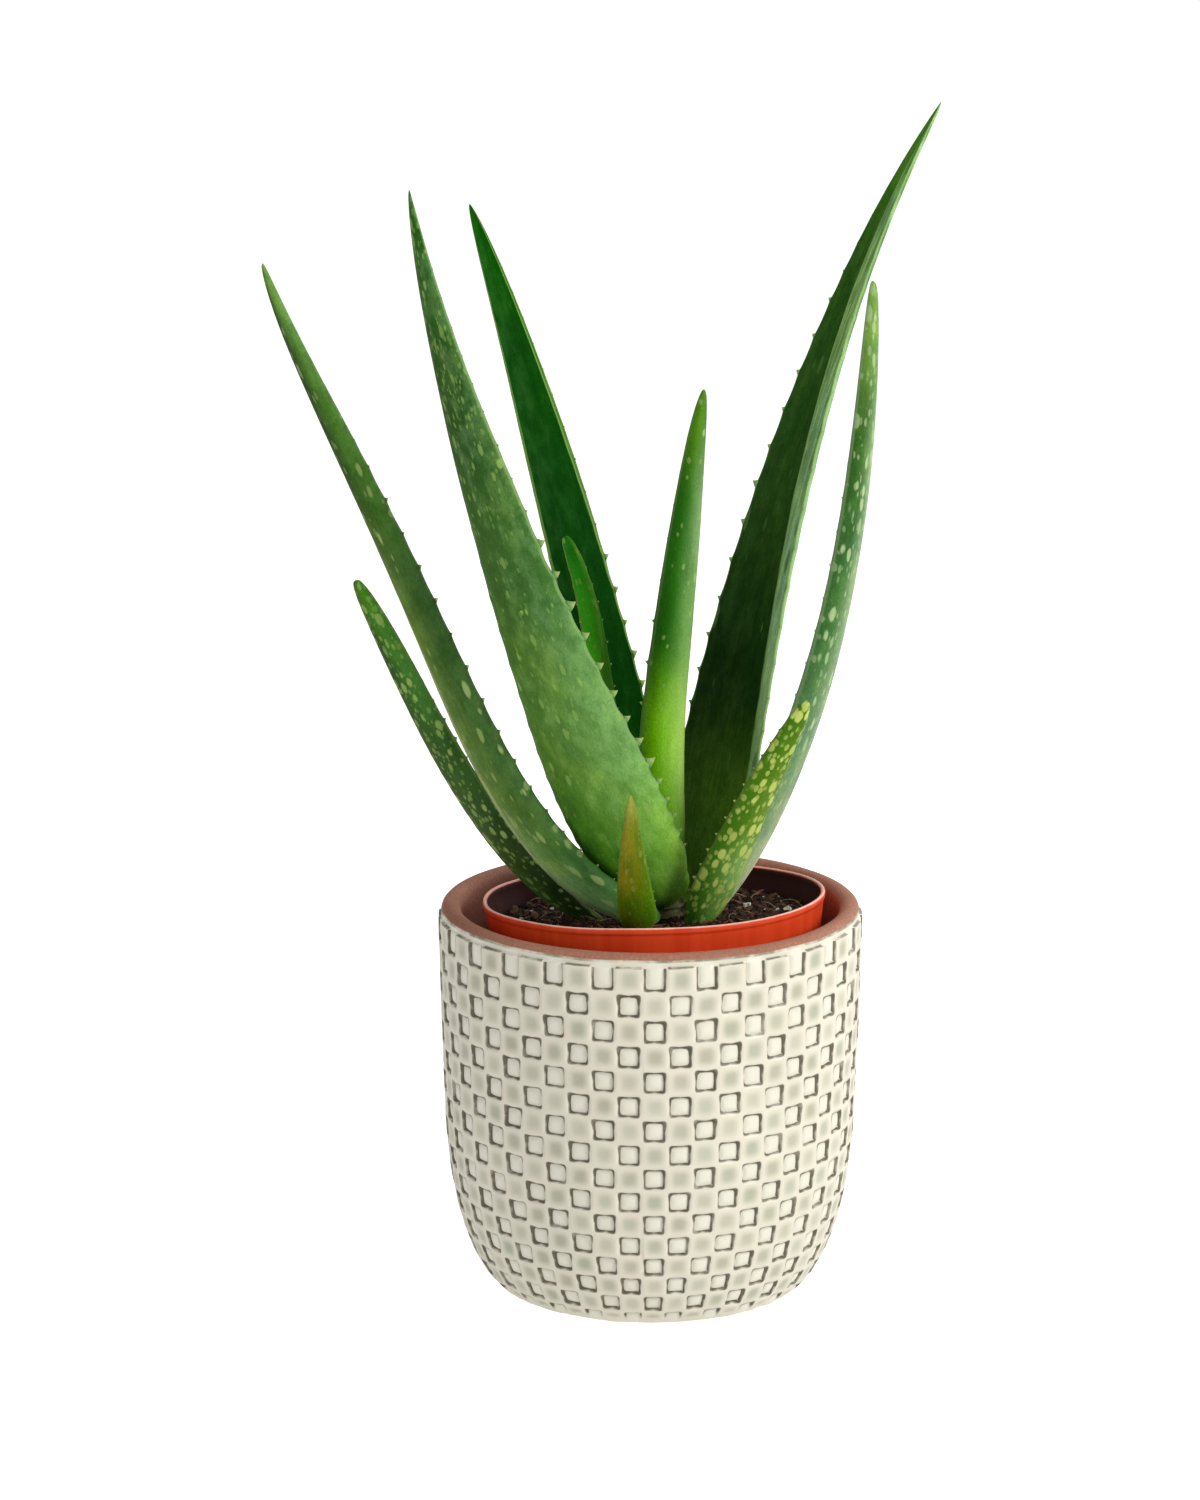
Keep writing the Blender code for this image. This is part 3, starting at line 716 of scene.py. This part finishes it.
def embossedPotTree():
    sizes = newNodeTree(
        "embossedPot", profile="object", columns=52, rows=16, reliefStart=0.06, reliefEnd=0.19, turn=0.0,
        lowerRows=0.0, relief=0.001, dish=0.0003, pillow=0.0002, groove=0.0002, unevenness=0.3, seed=2,
        footLines=14, insideLines=46, glaze="material",
    )
    perCell = 8
    tileHalf = 0.42  # half a tile's flat part, as a share of a cell
    overlap = 0.04  # the first and last lines of relief tuck under by this share of a row
    reliefLines = sizes.rows * perCell
    rows = reliefLines + sizes.footLines + sizes.insideLines
    columns = sizes.columns * perCell + 1
    grid = add("GeometryNodeMeshGrid", {
        "Size X": columns - 1, "Size Y": rows - 1, "Vertices X": columns, "Vertices Y": rows})
    gridX, gridY, _ = partsOf(add("GeometryNodeInputPosition"))

    def cellPlace(number):
        # lines crowd towards a cell's edges, where the relief is steep
        cell = calc("FLOOR", (number + 0.01) / perCell)
        t = (number - cell * perCell - 3.5) / 3.5
        crowd = 1 - calc("MAXIMUM", 1 - abs(t), 0.0) ** 1.88
        return cell, calc("SIGN", t) * crowd * tileHalf

    column = calc("ROUND", gridX + (columns - 1) * 0.5)
    row = calc("ROUND", gridY + (rows - 1) * 0.5)
    columnCell, x = cellPlace(column)
    reliefRow = row - sizes.footLines
    rowCell, y = cellPlace(calc("MINIMUM", calc("MAXIMUM", reliefRow, 0), reliefLines - 1))
    u = columnCell + 0.5 + x
    v = rowCell + 0.5 + y
    profile = add("GeometryNodeObjectInfo", {"Object": sizes.profile}, out=4)
    length = add("GeometryNodeCurveLength", {"Curve": profile})
    pitch = (sizes.reliefEnd - sizes.reliefStart) / sizes.rows
    # how far along the profile each line lies: the foot, the relief, then the rim and the inside
    footRun = row / sizes.footLines * (sizes.reliefStart + pitch * overlap)
    share = v / sizes.rows
    sink = share * (1 - share) * sizes.lowerRows  # rows are a little lower towards the foot
    reliefRun = sizes.reliefStart + (share - sink) * sizes.rows * pitch
    topRun = sizes.reliefEnd - pitch * overlap
    insideShare = calc("MAXIMUM", (reliefRow - reliefLines) / (sizes.insideLines - 1), 0.0) ** 1.9
    insideRun = topRun + (length - topRun) * insideShare
    isFoot = calc("LESS_THAN", reliefRow, -0.5)
    isInside = calc("GREATER_THAN", reliefRow, reliefLines - 0.5)
    isRelief = 1 - isFoot - isInside
    run = choose(isFoot, footRun, choose(isInside, insideRun, reliefRun))
    sample = node("GeometryNodeSampleCurve", mode="LENGTH")
    feed(sample.inputs["Curves"], profile)
    feed(sample.inputs["Length"], run)
    # recessed cells are those where the column and the row add up to an odd number
    odd = (columnCell + rowCell) % 2
    topRow = calc("GREATER_THAN", rowCell, sizes.rows - 1.5)
    footRow = calc("LESS_THAN", rowCell, 0.5)
    openY = calc("MAXIMUM", choose(topRow, y * -1, choose(footRow, y, abs(y))), 0.0)
    ax = abs(x)
    corner = (ax**7.0 + openY**7.0) ** (1 / 7)
    edge = choose(calc("GREATER_THAN", calc("MAXIMUM", ax, openY), 0.41), tileHalf, corner)
    inRecess = 1 - add("ShaderNodeMapRange", {0: edge, 1: 0.385, 2: tileHalf, 3: 0.0, 4: 1.0})
    dome = calc("MAXIMUM", 1 - (corner / 0.38) ** 2.0, 0.0) * sizes.pillow
    ditch = ease(edge, 0.27, 0.375) * sizes.groove
    recess = dome - ditch + (1 - inRecess) * (sizes.relief + sizes.groove)
    full = (ax**4.0 + abs(y) ** 4.0) ** 0.25
    tile = sizes.relief - ease(full, tileHalf, 0.1) * sizes.dish
    # the lowest row runs out smoothly into the foot
    smooth = footRow * ease(y, 0.2, -0.15)
    height = choose(odd, recess, tile)
    height = (height + smooth * (sizes.relief - height)) * isRelief
    # hand-pressed unevenness: cells differ in depth, and lines wander a little
    way = vectorOf(u, v, sizes.seed)
    height = height * ease(cloud(way, 0.8), 0.3, 0.7, 0.85, 1.12)
    seamless = ease(u, 0.1, 2.0) * ease(u, sizes.columns - 0.1, sizes.columns - 2.0)

    def wander(scale, shift):
        swing = cloud(vectorCalc("ADD", way, (shift, 0, shift)), scale, 1.0) - 0.5
        return swing * (isRelief * sizes.unevenness) * seamless

    angle = (u + wander(1.3, 3.0)) / sizes.columns * math.tau + sizes.turn
    radius, _, rise = partsOf(Wire(sample.outputs["Position"]))
    leanOut, _, leanUp = partsOf(Wire(sample.outputs["Tangent"]))
    radius = radius + leanUp * height
    rise = rise - leanOut * height + wander(1.1, 9.0) * pitch
    around = vectorOf(radius * calc("COSINE", angle), radius * calc("SINE", angle), rise)
    # these are stored before the points move, because they come from the flat grid
    wall = store(store(store(grid, "cells", way, "FLOAT_VECTOR", "CORNER"), "run", run), "relief", isRelief)
    wall = add("GeometryNodeSetPosition", {"Geometry": wall, "Position": around})
    closed = add("GeometryNodeMergeByDistance", {"Geometry": wall, "Distance": 0.00002})
    return finishTree(add("GeometryNodeSetShadeSmooth", {"Geometry": closed}), sizes.glaze)


def cachepotGlaze(runs):
    material, shader = newMaterial("stonewareGlaze")
    run = attribute("run")
    where = objectPlace()
    grit = cloud(where, 900, 4, 0.65)
    soft = cloud(where, 120, 3, 0.6)
    large = cloud(where, 22, 3, 0.55)

    def centred(value):
        whole = calc("FLOOR", value)
        return whole, value - whole - 0.5

    def dice(seed):
        return add("ShaderNodeTexWhiteNoise", {"Vector": vectorOf(column, row, seed)}, noise_dimensions="3D")

    cellX, cellY, _ = partsOf(attribute("cells", 1))
    column, x = centred(cellX)
    row, y = centred(cellY)
    ax = abs(x)
    topRow = calc("GREATER_THAN", row, cachepot["rows"] - 1.5)
    footRow = calc("LESS_THAN", row, 0.5)
    openY = calc("MAXIMUM", choose(footRow, y, choose(topRow, y * -1, abs(y))), 0)
    jitter = (soft - 0.5) * 0.05
    corner = (ax**7.0 + openY**7.0) ** (1 / 7) + jitter
    odd = (column + row) % 2
    luck = dice(3.0)
    inRelief = ease(attribute("relief"), 0.5, 0.9) * (1 - footRow * ease(y, 0.15, -0.1))
    # dark lines lie in the grooves, thicker at the top of a cell and in its corners; the extra width at the
    # top is painted shade under the upper edge of each recess
    reach = (ease(y, -0.35, 0.35, 0.008, 0.034) + ax * openY * 0.22) * ease(luck, 0, 1, 0.8, 1.2)
    lineShare = ease(abs(corner - 0.385) - reach, 0.03, -0.015)
    lineShare = lineShare * ease(soft, 0.28, 0.5, 0.55, 1.0) * odd * inRelief
    # a thin line also runs over the top edge of the uppermost tiles
    over = abs(run - (runs["reliefEnd"] - 0.4 * mm))
    over = ease(over, 0.7 * mm, 0.1 * mm) * (1 - odd) * ease(soft, 0.35, 0.55, 0.2, 0.9)
    lineShare = calc("MAXIMUM", lineShare, over)
    full = (ax**3.0 + abs(y) ** 3.0) ** (1 / 3)
    pool = ease(full + jitter, 0.5, 0.1) * (1 - odd) * inRelief
    cream = mix(ease(large, 0.35, 0.65), paint(232, 226, 207), paint(227, 222, 203))
    cream = mix(odd * ease(corner, 0.36, 0.2), cream, paint(235, 232, 215))
    pooled = mix(dice(8.0), paint(170, 175, 151), paint(180, 175, 151))
    colour = mix(pool * ease(luck, 0, 1, 0.5, 0.85), cream, pooled)
    colour = mix(ease(grit, 0.66, 0.74, 0, 0.35), colour, paint(150, 140, 110))
    colour = mix(lineShare * 0.92, colour, mix(soft, paint(92, 76, 52), paint(74, 78, 52)))
    # bare clay above the glaze line, inside and under the foot
    edgeRun = run + (cloud(where, 45, 3) - 0.5) * (1.4 * mm)
    bare = ease(edgeRun, runs["glazeEnd"] - 0.2 * mm, runs["glazeEnd"] + 0.3 * mm)
    under = ease(edgeRun, runs["footEdge"] + 0.4 * mm, runs["footEdge"] - 0.3 * mm)
    bare = calc("MAXIMUM", bare, under)
    rimLine = abs(edgeRun - (runs["glazeEnd"] - 0.2 * mm))
    rimLine = ease(rimLine, 0.9 * mm, 0.2 * mm) * ease(soft, 0.35, 0.6, 0.1, 0.8)
    colour = mix(rimLine, colour, paint(104, 92, 64))
    clay = mix(ease(large, 0.3, 0.7), paint(180, 124, 100), paint(162, 108, 86))
    clay = mix(ease(grit, 0.35, 0.62, 0, 0.45), clay, paint(136, 88, 68))
    # painted shade: the clay inside the rim gets darker further down, in the gap between the two pots
    gapShade = ease(run, runs["rimEnd"] - 3 * mm, runs["rimEnd"] + 12 * mm)
    colour = mix(bare, colour, mix(gapShade, clay, paint(84, 44, 32)))
    roughness = choose(bare, ease(grit, 0.3, 0.7, 0.7, 0.9), ease(soft, 0.3, 0.7, 0.32, 0.48))
    height = soft * 0.6 + grit * choose(bare, 0.7, 0.12)
    coat(shader, colour, roughness, height, 0.25 * mm, Specular_IOR_Level=0.5)
    return material


profileLine = cachepotProfile()
steps = [math.dist(a, b) for a, b in zip(profileLine, profileLine[1:])]
runAt = np.r_[0, np.cumsum(steps)]


radii, heights = np.array(profileLine).T
upTo = int(np.argmax(heights))
footPoints = 5


def runAtHeight(height):
    # up the outside, from the foot to the top of the rim
    return float(np.interp(height, heights[footPoints:upTo], runAt[footPoints:upTo])) * mm


runs = dict(
    reliefStart=runAtHeight(cachepot["reliefFoot"]),
    reliefEnd=runAtHeight(cachepot["reliefTop"]),
    glazeEnd=runAtHeight(cachepot["glazeTop"]),
    footEdge=float(runAt[np.argmax(radii >= cachepot["footRadius"] - 2)]) * mm,
    rimEnd=float(runAt[upTo + int(np.argmax(heights[upTo:] < cachepot["rimDepth"]))]) * mm,
)
profileCurve = bpy.data.curves.new("cachepotProfile", "CURVE")
profileCurve.dimensions = "3D"
spline = profileCurve.splines.new("POLY")
spline.points.add(len(profileLine) - 1)
for point, (radius, height) in zip(spline.points, profileLine):
    point.co = (radius * mm, 0, height * mm, 1)
profileObject = bpy.data.objects.new("cachepotProfile", profileCurve)
scene.collection.objects.link(profileObject)

cachepotPiece = newPiece("cachepotBody", bpy.data.meshes.new("cachepotBody"))
runNodes(
    cachepotPiece, embossedPotTree(), profile=profileObject, seed=2, glaze=cachepotGlaze(runs),
    reliefStart=runs["reliefStart"], reliefEnd=runs["reliefEnd"],
    turn=math.radians(-90 + cachepot["turn"] - 180 / cachepot["columns"]),
    **{key: cachepot[key] * mm for key in ("relief", "dish", "pillow", "groove")},
    **{key: cachepot[key] for key in ("columns", "rows", "unevenness", "lowerRows")},
)
bpy.data.objects.remove(profileObject)
handOver(cachepotPiece, "stoneware_glaze", "cachepot")
print("pressed the cachepot", len(cachepotPiece.data.polygons), "faces")


# nursery pot

nursery = dict(
    lipRadius=60, overhang=0.2, depth=127, footRadius=44, wall=1.4,
    lipCentre=(1.2, 0, 142.3), frontUp=3.5, rightUp=1.7, segments=144, holes=6, holeRadius=4, holeRing=30,
)
nurseryTurn = (
    Matrix.Translation(Vector(nursery["lipCentre"]) * mm)
    @ Euler((-math.radians(nursery["frontUp"]), -math.radians(nursery["rightUp"]), 0)).to_matrix().to_4x4()
)


def wallRadius(depth):
    top = nursery["lipRadius"] - nursery["overhang"]
    return top + (nursery["footRadius"] - top) * depth / nursery["depth"]


def turned(name, line, segments):
    # spun round the axis; ends that lie on the axis close as poles
    rings = []
    points, faces = [], []
    for radius, height in line:
        if radius < 0.01:
            rings.append([len(points)])
            points.append((0, 0, height * mm))
            continue
        rings.append(list(range(len(points), len(points) + segments)))
        for step in range(segments):
            turn = math.tau * step / segments
            points.append((radius * math.cos(turn) * mm, radius * math.sin(turn) * mm, height * mm))
    for low, high in zip(rings, rings[1:]):
        for a in range(segments):
            b = (a + 1) % segments
            corners = [low[a % len(low)], low[b % len(low)], high[b % len(high)], high[a % len(high)]]
            face = list(dict.fromkeys(corners))
            if len(face) > 2:
                faces.append(face)
    return meshOf(name, points, faces)


def orangePlastic():
    material, shader = newMaterial("orangePlastic")
    where = objectPlace()
    flow = cloud(vectorCalc("MULTIPLY", where, (160, 160, 14)), 1.0, 3, 0.6)
    fine = cloud(where, 1400, 3, 0.6)
    broad = cloud(where, 24, 2)
    lip = attribute("lip")
    colour = mix(ease(flow, 0.3, 0.7), paint(214, 62, 20), paint(228, 76, 28))
    colour = mix(ease(broad, 0.35, 0.65, 0, 0.4), colour, paint(204, 52, 16))
    colour = mix(ease(fine, 0.64, 0.74, 0, 0.2), colour, paint(236, 130, 90))
    # pale pink along the lip: partly paler worn plastic, partly a painted highlight on the top edge
    colour = mix(ease(lip + (flow - 0.5) * 0.4, 0.35, 0.8, 0, 0.9), colour, paint(250, 196, 176))
    # the inside of the wall is darker: partly soil stain, partly painted shade
    colour = mix(attribute("within"), colour, paint(66, 22, 14))
    height = flow * 0.5 + fine * 0.2
    coat(shader, colour, ease(flow, 0.25, 0.75, 0.38, 0.52), height, 0.12 * mm, Specular_IOR_Level=0.3)
    return material


def nurseryPotShape():
    depth, wall, lip, over = (nursery[key] for key in ("depth", "wall", "lipRadius", "overhang"))
    foot, holeRing = nursery["footRadius"], nursery["holeRing"]
    inner = lip - over - wall
    line = [(0, -depth), (holeRing - 8, -depth), (holeRing + 8, -depth)]
    line += bend((foot - 3, -depth), (foot - 0.5, -depth),
                 (foot, -depth + 0.5), (wallRadius(depth - 3), -depth + 3), 6)
    line += [(wallRadius(d), -d) for d in range(110, 3, -12)]
    line += [(wallRadius(3.4), -3.4)]
    line += bend((wallRadius(2.8), -2.8), (wallRadius(2.4) + 0.1, -2.4), (lip, -2.3), (lip, -1.7), 5)
    line += bend((lip, -0.9), (lip, 0.1), (inner + 0.3, 0.1), (inner, -0.9), 11)
    line += [(inner - 0.02, -2.2), (inner - 0.1, -4)]
    line += [(wallRadius(d) - wall, -d) for d in range(8, 120, 14)]
    line += [(radius, -depth + wall) for radius in (wallRadius(depth - wall) - wall - 1, holeRing, 0)]
    shape = turned("nurseryPot", line, nursery["segments"])
    co = np.array([vertex.co for vertex in shape.vertices])
    radius, z = np.hypot(co[:, 0], co[:, 1]), co[:, 2]
    turn = np.arctan2(co[:, 1], co[:, 0])
    storePoints(shape, "lip", np.clip(1 + z / mm / 1.1, 0, 1) * (radius > 0.02))
    within = radius < (lip - over - wall * 0.7) * mm + z * (lip - over - foot) / depth
    storePoints(shape, "within", within * (z < -0.8 * mm))
    # thin plastic is never quite round: the top half gives a little
    give = np.clip(1 + z / (60 * mm), 0, 1)
    sag = (0.35 * np.sin(2 * turn + 0.6) + 0.22 * np.sin(5 * turn) + 0.12 * np.sin(9 * turn + 2)) * mm * give
    co[:, 0] += sag * np.cos(turn)
    co[:, 1] += sag * np.sin(turn)
    co[:, 2] += (0.15 * np.sin(3 * turn + 1) + 0.1 * np.sin(7 * turn)) * mm * np.clip(1 + z / (8 * mm), 0, 1)
    shape.vertices.foreach_set("co", co.ravel())
    return shape


nurseryPiece = newPiece("nurseryPot", nurseryPotShape(), orangePlastic())
drill = bmesh.new()
holeRing, holeRadius = nursery["holeRing"], nursery["holeRadius"] * mm
for hole in range(nursery["holes"]):
    turn = math.tau * hole / nursery["holes"]
    spot = Vector((holeRing * math.cos(turn), holeRing * math.sin(turn), -nursery["depth"])) * mm
    bmesh.ops.create_cone(drill, cap_ends=True, segments=24, radius1=holeRadius, radius2=holeRadius,
                          depth=8 * mm, matrix=Matrix.Translation(spot))
drillShape = bpy.data.meshes.new("drainDrill")
drill.to_mesh(drillShape)
drill.free()
drillPiece = newPiece("drainDrill", drillShape)
cut = nurseryPiece.modifiers.new("drainHoles", "BOOLEAN")
cut.operation, cut.solver, cut.object = "DIFFERENCE", "EXACT", drillPiece
cutShape = plainMesh(nurseryPiece)
nurseryPiece.modifiers.clear()
nurseryPiece.data = cutShape
bpy.data.objects.remove(drillPiece)
cutShape.transform(nurseryTurn)
cutShape.set_sharp_from_angle(angle=math.radians(50))
handOver(nurseryPiece, "orange_plastic", "nursery_pot")
print("moulded the nursery pot", len(cutShape.polygons), "faces")


# potting soil

soil = dict(belowLip=8.5, dish=1, inset=1.7, lumps=1.6, crumbs=3200, chips=420, stones=110, fibres=260)


def soilSurface(radius, turn):
    # height over the lip of the nursery pot, in millimetres
    limit = wallRadius(soil["belowLip"] + soil["dish"]) - soil["inset"]
    share = radius / limit
    x, y = radius * math.cos(turn), radius * math.sin(turn)
    lump = noise.fractal(Vector((x, y, 0)) * 0.12, 1.0, 2.0, 4) * soil["lumps"]
    return -soil["belowLip"] - soil["dish"] * share**2 + lump * min(1, 6 * (1 - share) + 0.3)


def soilShape(name, inset):
    limit = wallRadius(soil["belowLip"] + soil["dish"]) - inset
    bottom = nursery["depth"] - 1.7
    segments, rings = 132, 44
    points, faces = [(0, 0, soilSurface(0, 0))], []
    levels = [(limit * ring / rings, None) for ring in range(1, rings + 1)]
    levels += [(wallRadius(depth) - inset, -depth) for depth in (30, 60, 90, bottom)]
    for radius, height in levels:
        for step in range(segments):
            turn = math.tau * step / segments
            rise = soilSurface(radius, turn) if height is None else height
            points.append((radius * math.cos(turn), radius * math.sin(turn), rise))
    points.append((0, 0, -bottom))

    def at(ring, step):
        return 1 + (ring - 1) * segments + step % segments

    for step in range(segments):
        faces.append((0, at(1, step), at(1, step + 1)))
        for ring in range(1, rings + 4):
            faces.append((at(ring, step), at(ring + 1, step), at(ring + 1, step + 1), at(ring, step + 1)))
        faces.append((at(rings + 4, step), len(points) - 1, at(rings + 4, step + 1)))
    return meshOf(name, np.array(points) * mm, faces)


def soilMaterial(name, colours, rough):
    material, shader = newMaterial(name)
    where = objectPlace()
    grain = cloud(where, 700, 5, 0.7)
    patch = cloud(where, 160, 3, 0.6)
    luck = attribute("luck")
    share = ease(grain, 0.3, 0.7) * 0.6 + luck * 0.4
    dark, middle, pale = [paint(*colour) for colour in colours]
    colour = mix(ease(share, 0.0, 0.5), dark, middle)
    colour = mix(ease(share, 0.55, 1.0), colour, pale)
    colour = mix(ease(patch, 0.5, 0.75, 0, 0.4), colour, dark)
    roughness = ease(grain, 0.3, 0.7, rough, 0.95)
    coat(shader, colour, roughness, grain + patch * 0.5, 0.4 * mm, Specular_IOR_Level=0.25)
    return material


def scatterTree():
    sizes = newNodeTree(
        "scatteredGrains", grain="object", count=500, smallest=0.3, largest=1.0, sink=0.1, tip=3.2, seed=1,
        skin="material",
    )
    isTop = calc("GREATER_THAN", partsOf(add("GeometryNodeInputNormal"))[2], 0.35)
    area = add("GeometryNodeAttributeStatistic", {
        "Geometry": sizes.Geometry, "Selection": isTop, 2: add("GeometryNodeInputMeshFaceArea"),
    }, out=2, domain="FACE")
    points = add("GeometryNodeDistributePointsOnFaces", {
        "Mesh": sizes.Geometry, "Selection": isTop, "Density": sizes.count / area, "Seed": sizes.seed})
    size = sizes.smallest + (sizes.largest - sizes.smallest) * chance(0.0, 1.0, sizes.seed) ** 2.2
    points = add("GeometryNodeSetPosition", {
        "Geometry": points, "Offset": vectorOf(0, 0, size * (sizes.sink * mm))})
    # a grain turns freely about the upright, and tips over only so far
    tip = add("FunctionNodeRandomValue", {
        0: vectorOf(sizes.tip * -1, sizes.tip * -1, -3.2), 1: vectorOf(sizes.tip, sizes.tip, 3.2),
        "Seed": sizes.seed + 5,
    }, data_type="FLOAT_VECTOR")
    grain = add("GeometryNodeObjectInfo", {"Object": sizes.grain}, out=4)
    placed = add("GeometryNodeInstanceOnPoints", {
        "Points": points, "Instance": grain, "Scale": size * mm,
        "Rotation": add("FunctionNodeEulerToRotation", {0: tip})})
    placed = store(placed, "luck", chance(0.0, 1.0, sizes.seed + 9), "FLOAT", "INSTANCE")
    return finishTree(placed, sizes.skin)


def grainShape(name, detail, stretch, roughness, seed):
    maker = bmesh.new()
    bmesh.ops.create_icosphere(maker, subdivisions=detail, radius=1)
    for vertex in maker.verts:
        swell = 1 + roughness * noise.noise(vertex.co * 1.7 + Vector((seed, 0, 0)))
        vertex.co = Vector((a * b for a, b in zip(vertex.co * swell, stretch)))
    shape = bpy.data.meshes.new(name)
    maker.to_mesh(shape)
    maker.free()
    return newPiece(name, shape)


def fibreShape(name):
    # a thin, curled, four-sided thread of root or bark
    bends = 7
    points = []
    for number, t in enumerate(np.linspace(0, 1, bends)):
        spot = Vector((t * 2 - 1, 0.5 * math.sin(3 * t), 0.35 * math.sin(2 * t + 1)))
        thick = 0.06 * (1 - 0.6 * abs(number - 3) / 3)
        for corner in range(4):
            turn = math.tau * corner / 4
            points.append(spot + Vector((0, math.cos(turn), math.sin(turn))) * thick)
    last = len(points) - 4
    faces = [(low + a, low + (a + 1) % 4, low + 4 + (a + 1) % 4, low + 4 + a)
             for low in range(0, last, 4) for a in range(4)]
    faces += [(3, 2, 1, 0), (last, last + 1, last + 2, last + 3)]
    return newPiece(name, meshOf(name, points, faces))


soilBrown = soilMaterial("pottingSoil", [(20, 12, 9), (50, 33, 25), (88, 66, 52)], 0.8)
soilPiece = newPiece("pottingSoil", soilShape("pottingSoil", soil["inset"]), soilBrown)
soilPiece.data.transform(nurseryTurn)
handOver(soilPiece, "soil", "potting_soil")
scatter = scatterTree()
grains = {
    "soilCrumbs": (grainShape("crumb", 1, (1, 0.8, 0.7), 0.9, 1), soil["crumbs"], 0.5, 1.9, 0.1, 3.2,
                   soilMaterial("soilCrumbs", [(18, 11, 8), (50, 32, 23), (104, 76, 58)], 0.8)),
    "barkChips": (grainShape("chip", 1, (1.5, 0.7, 0.28), 0.8, 5), soil["chips"], 0.9, 2.6, 0.3, 0.7,
                  soilMaterial("barkChips", [(40, 24, 16), (92, 62, 44), (140, 104, 78)], 0.75)),
    "perlite": (grainShape("stone", 2, (1, 0.85, 0.75), 0.7, 9), soil["stones"], 0.6, 1.7, 0.35, 3.2,
                soilMaterial("perlite", [(170, 160, 150), (214, 206, 196), (238, 234, 228)], 0.85)),
    "soilFibres": (fibreShape("fibre"), soil["fibres"], 1.4, 5.5, 0.15, 0.6,
                   soilMaterial("soilFibres", [(70, 44, 28), (128, 92, 66), (182, 150, 120)], 0.75)),
}
for seed, (name, (grain, count, smallest, largest, sink, tip, material)) in enumerate(grains.items()):
    piece = newPiece(name, soilShape(name, soil["inset"] + largest * 0.8))
    piece.data.transform(nurseryTurn)
    runNodes(piece, scatter, grain=grain, count=count, smallest=smallest, largest=largest, sink=sink, tip=tip,
             seed=11 + seed, skin=material)
    handOver(piece, "soil")
    print("scattered", name, len(piece.data.polygons), "faces")
for grain, *_ in grains.values():
    bpy.data.objects.remove(grain)


# crown stem

stemLow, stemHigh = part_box("crown_stem")
stem = dict(foot=-3.0, top=1.5, swell=1.6, bands=6)


def stemShape():
    centre = (stemLow + stemHigh) / 2
    radius = (stemHigh.x - stemLow.x) / 2 / mm
    low, high = stemLow.z / mm + stem["foot"], stemHigh.z / mm + stem["top"]
    line = [(0, low)]
    for share in np.arange(61) / 60:
        # old leaf bases: each band swells at its foot
        band = stem["swell"] * (1 - share * stem["bands"] % 1) ** 1.5
        line.append(((radius + band) * (1 - 0.25 * share), low + (high - low) * share))
    line.append((0, high + 1))
    shape = turned("crownStem", line, 64)
    shape.transform(Matrix.Translation((centre.x, centre.y, 0)))
    return shape


def stemFibre():
    material, shader = newMaterial("stemFibre")
    where = objectPlace()
    lengthwise = cloud(vectorCalc("MULTIPLY", where, (700, 700, 90)), 1.0, 4, 0.65)
    patch = cloud(where, 140, 3)
    colour = mix(ease(lengthwise, 0.3, 0.7), paint(70, 78, 34), paint(150, 148, 96))
    colour = mix(ease(patch, 0.45, 0.7, 0, 0.8), colour, paint(60, 46, 28))
    coat(shader, colour, ease(lengthwise, 0.3, 0.7, 0.55, 0.85), lengthwise, 0.4 * mm)
    return material


stemPiece = newPiece("crownStem", stemShape(), stemFibre())
handOver(stemPiece, "stem_fibre", "crown_stem")
print("made the stem")
